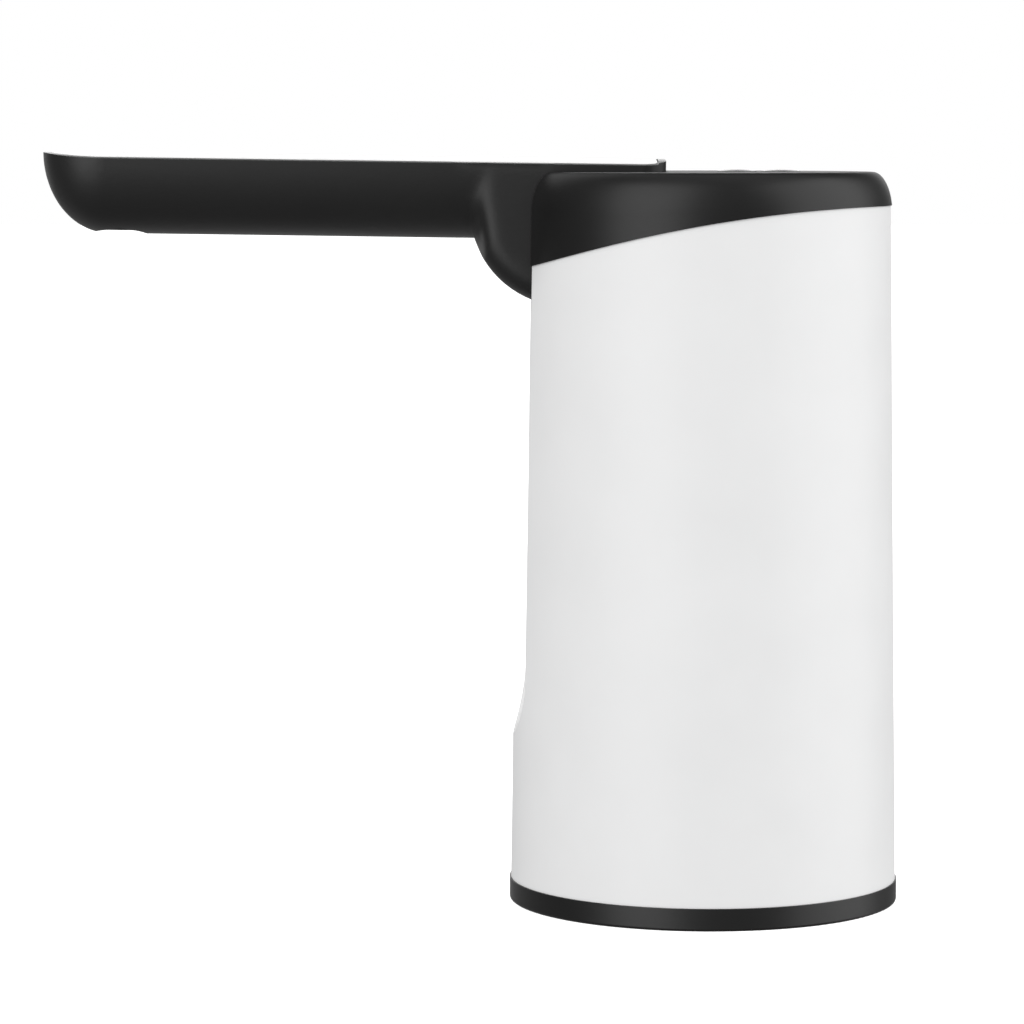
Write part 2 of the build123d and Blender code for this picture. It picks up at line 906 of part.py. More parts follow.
# Inlet fitting: socket for the suction hose in the bulkhead, with a collar and a stub above it
with BuildPart() as inlet_fitting:
    add(rod(pump_plane(neck_depth), port_radius + port_wall, port_height))
    add(rod(pump_plane(room_floor), port_radius + 2 * port_wall, port_wall))
    add(stub(pump_axis + Vector(0, 0, port_top), Vector(0, 0, 1), inlet_stub, 0, inner_stub))
    add(rod(pump_plane(neck_depth), port_radius, port_depth), mode=Mode.SUBTRACT)
    add(rod(pump_plane(neck_depth), pipe_bore), mode=Mode.SUBTRACT)
write(inlet_fitting, "inlet_fitting")

# Chassis: deck on the posts, with pillars, the cradle of the battery and posts for the board
with BuildPart() as chassis:
    add(inner_room(deck_height - deck_thickness, free))
    with BuildSketch(Plane.XY.offset(deck_height)):
        with Locations(pillar_spots):
            Circle(post_radius)
    extrude(amount=upper_deck_base - deck_height)
    with BuildSketch(Plane.XY.offset(deck_height)):
        with Locations((cell_x, cell_y)):
            Circle(cell_radius + fit + cradle_wall)
            Circle(cell_radius + fit, mode=Mode.SUBTRACT)
            with Locations((0, cell_radius)):
                Rectangle(2 * tab_width, 2 * cell_radius, mode=Mode.SUBTRACT)
    extrude(amount=cradle_height)
    with BuildSketch(Plane.XY.offset(deck_height)):
        for spot in board_post_spots:
            with Locations((spot, board_y - board_post_width / 2)):
                Rectangle(board_post_width, board_post_width)
    extrude(amount=board_height)
    add(
        cut_holes(Plane.XZ.offset(-board_y), [(x, z) for x in board_post_spots for z in board_screw_heights],
                  screw_shank + running, -board_post_width),
        mode=Mode.SUBTRACT,
    )
    add(cut_holes(Plane.XY.offset(deck_height), post_spots, screw_shank + running, deck_thickness),
        mode=Mode.SUBTRACT)
    add(cut_holes(Plane.XY.offset(deck_height), [(pump_x, pump_y)], hose_radius + free, deck_thickness),
        mode=Mode.SUBTRACT)
    add(cut_holes(Plane.XY.offset(upper_deck_base), pillar_spots, screw_shank + running, screw_length),
        mode=Mode.SUBTRACT)
write(chassis, "chassis")

with BuildPart() as chassis_screws:
    add(screws(Plane.XY.offset(deck_height), post_spots, screw_head, screw_head_height, screw_shank,
               screw_length))
write(chassis_screws, "chassis_screws")

# Upper deck: closes the frame and holds the motor in a collar
with BuildPart() as upper_deck:
    add(inner_room(upper_deck_base, free))
    with BuildSketch(Plane.XY.offset(upper_deck_base)):
        with Locations((pump_x, pump_y)):
            Circle(motor_radius + fit + collar_wall)
            Circle(motor_radius + fit, mode=Mode.SUBTRACT)
            with Locations((0, motor_radius)):
                Rectangle(collar_window, 2 * motor_radius, mode=Mode.SUBTRACT)
    extrude(amount=-collar_depth)
    add(cut_holes(Plane.XY.offset(upper_deck_top), [(riser_x, riser_y)], hose_radius + free, deck_thickness),
        mode=Mode.SUBTRACT)
    add(cut_holes(Plane.XY.offset(upper_deck_top), pillar_spots + cap_post_spots, screw_shank + running,
                  deck_thickness), mode=Mode.SUBTRACT)
    with BuildSketch(Plane.XY.offset(upper_deck_top)):
        with Locations(lead_window_spot):
            Rectangle(lead_window_length, lead_window_width)
    extrude(amount=-deck_thickness, mode=Mode.SUBTRACT)
write(upper_deck, "upper_deck")

with BuildPart() as deck_screws:
    add(screws(Plane.XY.offset(upper_deck_top), pillar_spots, screw_head, screw_head_height, screw_shank,
               screw_length))
write(deck_screws, "deck_screws")

with BuildPart() as cap_screws:
    add(screws(
        Plane(origin=(0, 0, upper_deck_base), x_dir=(1, 0, 0), z_dir=(0, 0, -1)),
        [(x, -y) for x, y in cap_post_spots],
        screw_head, screw_head_height, screw_shank, screw_length,
    ))
write(cap_screws, "cap_screws")

# Pump damper: soft ring under the pump
with BuildPart() as pump_damper:
    with BuildSketch(Plane.XY.offset(deck_height)):
        with Locations((pump_x, pump_y)):
            Circle(pump_radius - crankcase_wall)
            Circle(pump_radius - 2 * crankcase_wall, mode=Mode.SUBTRACT)
    extrude(amount=damper_thickness)
write(pump_damper, "pump_damper")


def pump_spots(reach, count, turn=0):
    """Spots round the pump's axis."""
    return PolarLocations(reach, count, start_angle=turn)


# Pump cover: inlet below its middle, outlet carried aside to an upright stub
with BuildPart() as pump_cover:
    riser = Vector(riser_x, riser_y, 0)
    across = riser - pump_axis
    with BuildSketch(pump_plane(pump_base)):
        Circle(pump_radius)
        with Locations(Location(across / 2, (0, 0, degrees(atan2(across.Y, across.X))))):
            SlotCenterToCenter(across.length, 2 * riser_ear)
    extrude(amount=cover_height)
    add(stub(pump_axis + Vector(0, 0, pump_base + running), Vector(0, 0, -1), inlet_stub, 0, inner_stub))
    add(stub(riser + Vector(0, 0, valve_base - running), Vector(0, 0, 1), long_stub, 0, inner_stub))
    with BuildSketch(pump_plane(valve_base)):
        Circle(pump_radius - crankcase_wall)
        Circle(chamber_reach - valve_radius - fit, mode=Mode.SUBTRACT)
        Circle(chamber_reach - valve_radius - crankcase_wall / 2)
    extrude(amount=-chamber_depth, mode=Mode.SUBTRACT)
    add(rod(pump_plane(0), pipe_bore, valve_base - chamber_depth / 2), mode=Mode.SUBTRACT)
    channel = valve_base - chamber_depth / 2 - pipe_bore / 2
    add(
        rod(Plane(origin=riser + Vector(0, 0, channel), z_dir=-across), pipe_bore,
            across.length - chamber_reach - valve_radius / 2),
        mode=Mode.SUBTRACT,
    )
    add(rod(Plane(origin=riser + Vector(0, 0, channel)), pipe_bore), mode=Mode.SUBTRACT)
    with BuildSketch(pump_plane(pump_base)):
        with pump_spots(pump_screw_reach, chambers, pump_screw_turn):
            Circle(pump_screw_shank + running)
    extrude(amount=cover_height, mode=Mode.SUBTRACT)
    with BuildSketch(pump_plane(pump_base)):
        with pump_spots(pump_screw_reach, chambers, pump_screw_turn):
            Circle(pump_screw_head + running)
    extrude(amount=screw_head_height, mode=Mode.SUBTRACT)
write(pump_cover, "pump_cover")

# Valve plate: three inlet holes and three ringed outlet seats
with BuildPart() as valve_plate:
    with BuildSketch(pump_plane(valve_base)):
        Circle(pump_radius)
        with pump_spots(pump_screw_reach, chambers, pump_screw_turn):
            Circle(pump_screw_shank + running, mode=Mode.SUBTRACT)
        with pump_spots(chamber_reach, chambers):
            Circle(pipe_bore / 2, mode=Mode.SUBTRACT)
            with pump_spots(valve_radius - pipe_bore / 2, inlet_holes):
                Circle(pipe_bore / 4, mode=Mode.SUBTRACT)
        with pump_spots(chamber_reach / 2, chambers):
            Circle(pipe_bore / 2, mode=Mode.SUBTRACT)
    extrude(amount=valve_plate_height)
write(valve_plate, "valve_plate")

# Check valves: three soft mushrooms under the valve plate
with BuildPart() as check_valves:
    with BuildSketch(pump_plane(valve_base)):
        with pump_spots(chamber_reach, chambers):
            Circle(valve_radius)
    extrude(amount=-valve_lip)
    with BuildSketch(pump_plane(valve_base)):
        with pump_spots(chamber_reach, chambers):
            Circle(pipe_bore / 2 - running)
    extrude(amount=valve_plate_height)
write(check_valves, "check_valves")

# Diaphragm: soft disc with three cups
with BuildPart() as diaphragm:
    with BuildSketch(pump_plane(diaphragm_base)):
        Circle(pump_radius)
        with pump_spots(pump_screw_reach, chambers, pump_screw_turn):
            Circle(pump_screw_shank + running, mode=Mode.SUBTRACT)
    extrude(amount=diaphragm_thickness)
    with BuildSketch(pump_plane(crankcase_base)):
        with pump_spots(chamber_reach, chambers):
            Circle(chamber_radius)
    extrude(amount=cup_height, taper=cup_taper)
write(diaphragm, "diaphragm")

# Crankcase between the diaphragm and the motor
with BuildPart() as crankcase:
    with BuildSketch(pump_plane(crankcase_base)):
        Circle(pump_radius)
    extrude(amount=crankcase_height)
    with BuildSketch(pump_plane(crankcase_base)):
        Circle(pump_radius - crankcase_wall)
    extrude(amount=crankcase_height - crankcase_top, mode=Mode.SUBTRACT)
    with BuildSketch(pump_plane(crankcase_base)):
        Circle(motor_boss_radius + fit)
    extrude(amount=crankcase_height, mode=Mode.SUBTRACT)
    with BuildSketch(pump_plane(crankcase_base)):
        with pump_spots(pump_screw_reach, chambers, pump_screw_turn):
            Circle(pump_screw_shank + running)
    extrude(amount=pump_screw_length - crankcase_base + pump_base + fit, mode=Mode.SUBTRACT)
write(crankcase, "crankcase")

with BuildPart() as pump_screws:
    with BuildSketch(pump_plane(pump_base)):
        with pump_spots(pump_screw_reach, chambers, pump_screw_turn):
            Circle(pump_screw_head)
    extrude(amount=screw_head_height)
    with BuildSketch(pump_plane(pump_base)):
        with pump_spots(pump_screw_reach, chambers, pump_screw_turn):
            Circle(pump_screw_shank)
    extrude(amount=pump_screw_length)
write(pump_screws, "pump_screws")

# Wobble plate on its tilted axis, with three legs over the cups
tilted = Vector(sin(radians(wobble_tilt)), 0, cos(radians(wobble_tilt)))
pivot = pump_axis + Vector(0, 0, crankcase_base)


def wobble_plane(lift):
    return Plane(origin=pivot + tilted * lift, x_dir=outward, z_dir=tilted)


with BuildPart() as wobble_plate:
    with BuildSketch(wobble_plane(wobble_lift)):
        Circle(wobble_radius)
    extrude(amount=wobble_thickness)
    with BuildSketch(wobble_plane(wobble_lift)):
        Circle(wobble_hub_radius)
    extrude(amount=wobble_thickness + wobble_hub_rise)
    with BuildSketch(wobble_plane(wobble_lift)):
        with PolarLocations(chamber_reach, chambers, start_angle=-quarter_turn):
            Circle(wobble_leg_radius)
    extrude(amount=-wobble_leg_length)
    add(rod(wobble_plane(0), wobble_pin_radius + running), mode=Mode.SUBTRACT)
write(wobble_plate, "wobble_plate")

with BuildPart() as wobble_pin:
    add(rod(wobble_plane(wobble_lift), wobble_pin_radius, wobble_top - wobble_lift + eccentric_height / 2))
write(wobble_pin, "wobble_pin")

with BuildPart() as eccentric:
    with BuildSketch(pump_plane(eccentric_base)):
        Circle(eccentric_radius)
    extrude(amount=eccentric_height)
    add(rod(wobble_plane(wobble_lift), wobble_pin_radius + running,
            wobble_top - wobble_lift + eccentric_height), mode=Mode.SUBTRACT)
    add(rod(pump_plane(eccentric_base + eccentric_height / 2), shaft_radius + running), mode=Mode.SUBTRACT)
write(eccentric, "eccentric")

# Motor: drawn can with a bearing boss, magnets, armature on its shaft, and an end cap
with BuildPart() as motor_can:
    with BuildSketch(pump_plane(motor_base)):
        Circle(motor_radius)
    extrude(amount=motor_length)
    fillet(motor_can.edges().sort_by(Axis.Z)[0], radius=motor_can_wall)
    with BuildSketch(pump_plane(motor_base + motor_can_wall)):
        Circle(motor_radius - motor_can_wall)
    extrude(amount=motor_length, mode=Mode.SUBTRACT)
    add(rod(pump_plane(motor_base + motor_can_wall), motor_boss_radius, -motor_can_wall - crankcase_top))
    add(rod(pump_plane(motor_base - overrun), bearing_radius + running), mode=Mode.SUBTRACT)
write(motor_can, "motor_can")

with BuildPart() as motor_bearings:
    for low, high in ((motor_base - crankcase_top, bearing_top), (end_cap_base, cap_bearing_top)):
        with BuildSketch(pump_plane(low)):
            Circle(bearing_radius)
            Circle(shaft_radius + running, mode=Mode.SUBTRACT)
        extrude(amount=high - low)
write(motor_bearings, "motor_bearings")

with BuildPart() as stator_magnets:
    with BuildSketch(pump_plane(bearing_top + motor_length * (1 - magnet_share) / 2)):
        Circle(motor_radius - motor_can_wall - fit)
        Circle(motor_radius - motor_can_wall - magnet_thickness, mode=Mode.SUBTRACT)
        Rectangle(armature_radius, base_diameter, mode=Mode.SUBTRACT)
    extrude(amount=motor_length * magnet_share)
write(stator_magnets, "stator_magnets")

with BuildPart() as motor_shaft:
    shaft_low = eccentric_base + eccentric_height / 2 + fit
    add(rod(pump_plane(shaft_low), shaft_radius, end_cap_top - shaft_low))
write(motor_shaft, "motor_shaft")

with BuildPart() as armature:
    with BuildSketch(pump_plane(bearing_top + motor_length * (1 - armature_share) / 2)):
        Circle(armature_radius)
        Circle(shaft_radius + running, mode=Mode.SUBTRACT)
        with PolarLocations(armature_radius, chambers):
            Rectangle(armature_radius, armature_slot, mode=Mode.SUBTRACT)
        with PolarLocations(armature_radius * armature_share, chambers):
            Rectangle(armature_slot, 2 * armature_slot, mode=Mode.SUBTRACT)
    extrude(amount=motor_length * armature_share)
write(armature, "armature")

with BuildPart() as motor_end_cap:
    with BuildSketch(pump_plane(end_cap_base)):
        Circle(motor_radius)
    extrude(amount=end_cap_height)
    add(rod(pump_plane(end_cap_base), motor_radius - motor_can_wall - fit, -end_cap_height / 2))
    add(rod(pump_plane(end_cap_base), motor_boss_radius, end_cap_height + end_cap_boss))
    add(rod(pump_plane(motor_base), bearing_radius + running, cap_bearing_top - motor_base),
        mode=Mode.SUBTRACT)
write(motor_end_cap, "motor_end_cap")

with BuildPart() as motor_terminals:
    with BuildSketch(pump_plane(end_cap_top)):
        with Locations((terminal_reach, 0), (-terminal_reach, 0)):
            Rectangle(terminal_thickness, terminal_width)
    extrude(amount=terminal_length)
write(motor_terminals, "motor_terminals")

# Inlet tube and outlet tube
with BuildPart() as inlet_tube:
    with BuildSketch(pump_plane(port_top + running)):
        Circle(hose_radius)
        Circle(hose_bore, mode=Mode.SUBTRACT)
    extrude(amount=pump_base - port_top - 2 * running)
write(inlet_tube, "inlet_tube")

# The outlet tube rises beside the motor and leans over to the hinge
swivel_turn = Vector(-hinge_reach, swivel_turn_y, hinge_height)
riser_top = Vector(riser_x, riser_y, hinge_height)
lean = (riser_top - swivel_turn).normalized()
swivel_mouth = swivel_turn + lean * (swivel_block_length + 2 * hose_wall)
riser_bend = (riser_top - swivel_mouth).length - long_stub
with BuildPart() as outlet_tube:
    add(hose((Vector(riser_x, riser_y, valve_base + running), riser_top, swivel_mouth), riser_bend,
             hose_bore, hose_radius))
write(outlet_tube, "outlet_tube")


def swivel_block():
    """Block outside the cheek that turns the water towards the hinge's hollow pin."""
    front = swivel_radius - running
    with BuildPart() as form:
        with BuildSketch(Plane.XY.offset(hinge_height)):
            with BuildLine():
                Polyline(
                    (-hinge_reach - front, cheek + fit),
                    (-hinge_reach + swivel_block_length, cheek + fit),
                    (-hinge_reach + swivel_block_length, cheek + fit + swivel_block_width),
                    (-hinge_reach - front, cheek + fit + swivel_block_width),
                    close=True,
                )
            make_face()
        extrude(amount=swivel_block_height / 2, both=True)
        add(cap_solid(cap_wall + free), mode=Mode.INTERSECT)
    return form.part


# Swivel fitting: hollow pin of the hinge with the block and the stub for the outlet tube
with BuildPart() as swivel_fitting:
    add(swivel_block())
    add(rod(Plane(origin=hinge + outward * swivel_inner_end, z_dir=outward), swivel_radius,
            cheek + free - swivel_inner_end))
    add(stub(swivel_mouth - lean * 2 * hose_wall, lean, long_stub + 2 * hose_wall, 0, inner_stub))
    add(rod(Plane(origin=hinge, z_dir=outward), swivel_bore, swivel_turn_y), mode=Mode.SUBTRACT)
    add(rod(Plane(origin=swivel_turn, z_dir=lean), pipe_bore), mode=Mode.SUBTRACT)
write(swivel_fitting, "swivel_fitting")

# Battery: one round cell, a tab at each end and a pad on top
with BuildPart() as battery_cell:
    with BuildSketch(Plane.XY.offset(cell_base)):
        with Locations((cell_x, cell_y)):
            Circle(cell_radius)
    extrude(amount=cell_length)
    fillet(battery_cell.edges().filter_by(GeomType.CIRCLE), radius=cell_edge)
write(battery_cell, "battery_cell")

with BuildPart() as battery_tabs:
    for height in (deck_height, cell_top):
        with BuildSketch(Plane.XY.offset(height)):
            with Locations((cell_x, cell_y + tab_length / 2)):
                SlotOverall(tab_length + tab_width, tab_width, rotation=quarter_turn)
        extrude(amount=tab_thickness)
write(battery_tabs, "battery_tabs")

with BuildPart() as battery_pad:
    with BuildSketch(Plane.XY.offset(cell_top + tab_thickness)):
        with Locations((cell_x, cell_y)):
            Circle(tab_width)
    extrude(amount=pad_thickness)
write(battery_pad, "battery_pad")

# Control board with its parts, socket and screws
with BuildPart() as control_board:
    with BuildSketch(Plane.XZ.offset(-board_y)):
        with Locations((0, board_base + board_height / 2)):
            Rectangle(board_width, board_height)
        with Locations([(x, z) for x in board_post_spots for z in board_screw_heights]):
            Circle(screw_shank + running, mode=Mode.SUBTRACT)
    extrude(amount=-board_thickness)
write(control_board, "control_board")

with BuildPart() as board_parts:
    with BuildSketch(Plane.XZ.offset(-board_back)):
        with Locations((0, board_base + board_height * chip_share)):
            Rectangle(switch_size, switch_size)
        with Locations((board_width / 4, board_base + board_height * driver_share)):
            Rectangle(switch_size, switch_height)
        with Locations((-board_width / 4, board_base + board_height * capacitor_share)):
            Circle(switch_height)
        with Locations((0, board_base + board_height * connector_share)):
            Rectangle(switch_size, switch_height)
    extrude(amount=-chip_thickness)
write(board_parts, "board_parts")

with BuildPart() as charge_socket:
    with BuildSketch(Plane.XZ.offset(-board_back)):
        with Locations((0, socket_height)):
            SlotOverall(socket_width, socket_thickness)
    extrude(amount=-socket_depth)
    with BuildSketch(Plane.XZ.offset(-board_back - socket_shell)):
        with Locations((0, socket_height)):
            SlotOverall(socket_inner_width, socket_inner_thickness)
    extrude(amount=-socket_depth, mode=Mode.SUBTRACT)
    with BuildSketch(Plane.XZ.offset(-board_back)):
        with Locations((0, socket_height)):
            Rectangle(socket_inner_width - socket_thickness, socket_thickness / 4)
    extrude(amount=-socket_depth * socket_tongue_share)
write(charge_socket, "charge_socket")

with BuildPart() as board_screws:
    add(screws(
        Plane(origin=(0, board_back, 0), x_dir=(-1, 0, 0), z_dir=outward),
        [(-x, z) for x in board_post_spots for z in board_screw_heights],
        screw_head, screw_head_height, screw_shank, board_post_width,
    ))
write(board_screws, "board_screws")

# Switch board under the buttons, hung from two posts of the cap
with BuildPart() as switch_board:
    with BuildSketch(Plane.XY.offset(switch_board_height)):
        with Locations((switch_board_start + switch_board_length / 2, 0)):
            RectangleRounded(switch_board_length, switch_board_width, switch_post_radius)
        with Locations(switch_post_spots):
            Circle(pump_screw_shank + running, mode=Mode.SUBTRACT)
    extrude(amount=board_thickness)
write(switch_board, "switch_board")

with BuildPart() as switch_screws:
    add(screws(
        Plane(origin=(0, 0, switch_board_height), x_dir=(1, 0, 0), z_dir=(0, 0, -1)),
        [(x, -y) for x, y in switch_post_spots],
        pump_screw_head, screw_head_height / 2, pump_screw_shank, switch_size,
    ))
write(switch_screws, "switch_screws")

with BuildPart() as tact_switches:
    with BuildSketch(Plane.XY.offset(switch_board_top)):
        with Locations([(spot, 0) for spot in button_spots]):
            Rectangle(switch_size, switch_size)
    extrude(amount=switch_height)
    with BuildSketch(Plane.XY.offset(switch_board_top + switch_height)):
        with Locations([(spot, 0) for spot in button_spots]):
            Circle(switch_size / 4)
    extrude(amount=switch_stem)
write(tact_switches, "tact_switches")


def button(spot):
    """Low domed button with a wing on each side that holds it under the cap."""
    foot = switch_board_top + switch_height + switch_stem + button_travel + fit
    edge = body_height + button_edge_rise
    with BuildPart() as form:
        with BuildSketch(Plane.XZ):
            with BuildLine():
                Polyline(
                    (spot, body_height + button_proud),
                    (spot, foot),
                    (spot + button_radius, foot),
                    (spot + button_radius, edge),
                )
                TangentArc(
                    (spot, body_height + button_proud),
                    (spot + button_radius, edge),
                    tangent=(1, 0),
                )
            make_face()
        revolve(axis=Axis((spot, 0, 0), (0, 0, 1)))
        with BuildSketch(Plane.XY.offset(body_height - cap_wall - fit)):
            with Locations((spot, 0)):
                Rectangle(button_wing_width, 2 * (button_radius + button_wing))
        extrude(amount=-button_wing_height)
    return form.part


with BuildPart() as front_button:
    add(button(button_spots[0]))
write(front_button, "front_button")

with BuildPart() as rear_button:
    add(button(button_spots[1]))
write(rear_button, "rear_button")

# Leads: battery to board, motor to board, switch board to board
tab_end = cell_y + tab_length
lead_start = pump_y + terminal_width / 2
lead_level = end_cap_top + terminal_rise
battery_routes = (
    ((cell_x, tab_end, cell_top), (-3, -7.5, 96), (-4, 0, 94), (-3, 8, 91), (1.8, 14.7, 87), (5.2, 21.5, 78),
     (5.2, board_y, 78)),
    ((cell_x, tab_end, cell_base), (-3, -7.5, 43), (-4, 0, 48), (-3.5, 8, 54), (1.8, 14.7, 60), (4, 21.5, 70),
     (4, board_y, 70)),
)
motor_routes = (
    ((7, lead_start, lead_level), (7, 14.5, lead_level), (4, 19.5, 93), (2.8, 21.8, 84), (2.8, board_y, 84)),
    ((17, lead_start, lead_level), (17, 14.5, lead_level), (12, 17.5, 94), (7.3, 21.8, 82),
     (7.3, board_y, 82)),
)
switch_routes = (
    ((16, 4, switch_board_height), (16, 4, 115), (15, 13, 110), (14, 20.5, 104.5), (13, 20.6, 97),
     (8.5, 21.3, 90), (5.2, 21.8, 84.6), (5.2, board_y, 84.6)),
)


def lead(points):
    """Insulated lead with each bend as large as its two runs allow."""
    route = [Vector(*point) for point in points]
    bends = []
    for before, here, after in zip(route, route[1:], route[2:]):
        turn = radians((here - before).get_angle(after - here))
        run = min((here - before).length, (after - here).length)
        bends.append(bend_share * run / tan(turn / 2))
    return hose(route, bends, 0, wire_radius)


def leads(routes):
    with BuildPart() as form:
        for route in routes:
            add(lead(route))
    return form.part


with BuildPart() as battery_leads:
    add(leads(battery_routes))
write(battery_leads, "battery_leads")

with BuildPart() as motor_leads:
    add(leads(motor_routes))
write(motor_leads, "motor_leads")

with BuildPart() as switch_lead:
    add(leads(switch_routes))
write(switch_lead, "switch_lead")
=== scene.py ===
import json
import math

import bpy
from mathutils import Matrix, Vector


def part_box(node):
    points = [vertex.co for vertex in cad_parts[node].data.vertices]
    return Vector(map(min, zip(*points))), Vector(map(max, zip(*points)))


# Looks of the bottled water pump: a finish for every piece, the signs printed on its two
# buttons, a pale floor, soft boxes of light and the camera. The pieces' shapes are the
# frame's own. +Z is up, the open arm points to -X and the camera looks along +Y.

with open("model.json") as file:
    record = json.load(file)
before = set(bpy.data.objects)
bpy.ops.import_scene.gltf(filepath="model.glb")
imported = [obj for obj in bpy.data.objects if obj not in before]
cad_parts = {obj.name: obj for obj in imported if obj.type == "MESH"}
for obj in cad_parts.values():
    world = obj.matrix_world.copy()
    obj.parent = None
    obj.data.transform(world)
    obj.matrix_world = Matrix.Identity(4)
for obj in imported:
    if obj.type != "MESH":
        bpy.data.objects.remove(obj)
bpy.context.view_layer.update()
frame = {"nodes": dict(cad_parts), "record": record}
scene = bpy.context.scene
nodes = frame["nodes"]

MM = 0.001
X, Y, Z = 0, 1, 2

# Depths of the grain that the mould leaves in plastic
polished_grain = 0.002 * MM
fine_grain = 0.004 * MM
coarse_grain = 0.006 * MM

# Where the arm's sides swell out to the knuckle, along X
flare_middle = -36 * MM
flare_half_length = 6 * MM
flare_fade = 3 * MM
flare_blend = 3 * MM  # radius of the shading across the flare

# Edges of satin plastic: how wide hands rub them, and how softly they turn
rubbed_edge = 0.5 * MM
soft_edge = 0.12 * MM

# Refraction of what the surfaces are made of
plastic_index = 1.5
polished_index = 1.49
rubber_index = 1.42
ring_index = 1.56
button_index = 1.6


class Tone:
    """A number or a color that varies over a surface, as a socket in its web of nodes."""

    def __init__(self, web, socket):
        self.web = web
        self.socket = socket

    def _math(self, operation, first, second):
        node = self.web.node("ShaderNodeMath", {"operation": operation}, {0: first, 1: second})
        return Tone(self.web, node.outputs[0])

    def __add__(self, other):
        return self._math("ADD", self, other)

    __radd__ = __add__

    def __mul__(self, other):
        return self._math("MULTIPLY", self, other)

    __rmul__ = __mul__

    def __sub__(self, other):
        return self._math("SUBTRACT", self, other)

    def __rsub__(self, other):
        return self._math("SUBTRACT", other, self)

    def __truediv__(self, other):
        return self._math("DIVIDE", self, other)

    def __gt__(self, other):
        return self._math("GREATER_THAN", self, other)

    def __lt__(self, other):
        return self._math("LESS_THAN", self, other)

    def up_to(self, other):
        return self._math("MINIMUM", self, other)

    def at_least(self, other):
        return self._math("MAXIMUM", self, other)

    def size(self):
        return self._math("ABSOLUTE", self, 0)

    def root(self):
        return self._math("SQRT", self, 0)

    def share(self):
        """The number, kept from 0 to 1."""
        return self.up_to(1).at_least(0)


class Web:
    """Tree of nodes, each made with its settings and its inputs."""

    def __init__(self, tree):
        self.tree = tree

    def node(self, kind, settings=None, inputs=None):
        made = self.tree.nodes.new(kind)
        for name, value in (settings or {}).items():
            setattr(made, name, value)
        for name, value in (inputs or {}).items():
            if isinstance(value, Tone):
                self.tree.links.new(value.socket, made.inputs[name])
            else:
                made.inputs[name].default_value = value
        return made

    def read(self, kind, output, settings=None, inputs=None):
        return Tone(self, self.node(kind, settings, inputs).outputs[output])

    def parts(self, vector):
        """X, Y and Z of a vector."""
        split = self.node("ShaderNodeSeparateXYZ", None, {"Vector": vector})
        return [Tone(self, split.outputs[axis]) for axis in "XYZ"]

    def between(self, share, plain, other):
        """Number between two, by a share."""
        return plain + share * (other - plain)


class Finish(Web):
    """A material made of nodes, with one Principled shader."""

    def __init__(self, name, **constants):
        self.material = bpy.data.materials.new(name)
        self.material.use_nodes = True
        super().__init__(self.material.node_tree)
        self.shader = self.tree.nodes["Principled BSDF"]
        for socket, value in constants.items():
            self.shader.inputs[socket.replace("_", " ")].default_value = value
        self.place = self.read("ShaderNodeTexCoord", "Object")

    def noise(self, grain, detail=2.0, roughness=0.5):
        """Smooth random pattern from 0 to 1 whose patches are about a grain wide."""
        return self.read("ShaderNodeTexNoise", "Fac", None, {
            "Vector": self.place, "Scale": 1 / grain, "Detail": detail, "Roughness": roughness})

    def cells(self, grain):
        """Distance to the middle of random cells that are about a grain wide."""
        return self.read("ShaderNodeTexVoronoi", "Distance", None,
                         {"Vector": self.place, "Scale": 1 / grain})

    def rounded(self, radius, samples=4):
        """Normal of the surface with its edges rounded."""
        return self.read("ShaderNodeBevel", "Normal", {"samples": samples}, {"Radius": radius})

    def edges(self, radius):
        """0 on flat faces, rising to 1 on edges sharper than a radius."""
        gain = 6
        true = self.read("ShaderNodeNewGeometry", "True Normal")
        turn = self.read("ShaderNodeVectorMath", "Value", {"operation": "DOT_PRODUCT"},
                         {0: self.rounded(radius), 1: true})
        return ((1 - turn) * gain).share()

    def blend(self, share, plain, other):
        """Color between two, by a share."""
        made = self.node("ShaderNodeMix", {"data_type": "RGBA"}, {0: share, 6: plain, 7: other})
        return Tone(self, made.outputs[2])

    def mix(self, share, plain, other):
        """Direction between two, by a share."""
        made = self.node("ShaderNodeMix", {"data_type": "VECTOR"}, {0: share, 4: plain, 5: other})
        return Tone(self, made.outputs[1])

    def feed(self, socket, value):
        self.tree.links.new(value.socket, self.shader.inputs[socket])

    def bump(self, height, depth, strength, after=None):
        """Normal with a relief of a depth, on top of another normal if one is given."""
        inputs = {"Height": height, "Distance": depth, "Strength": strength}
        if after is not None:
            inputs["Normal"] = after
        return self.read("ShaderNodeBump", "Normal", None, inputs)


def grey(level, warm=0.0):
    return (level * (1 + warm), level, level * (1 - warm), 1.0)


def shaded(color, share):
    """The color, lighter or darker by a share."""
    return tuple(level * share for level in color[:3]) + (1.0,)


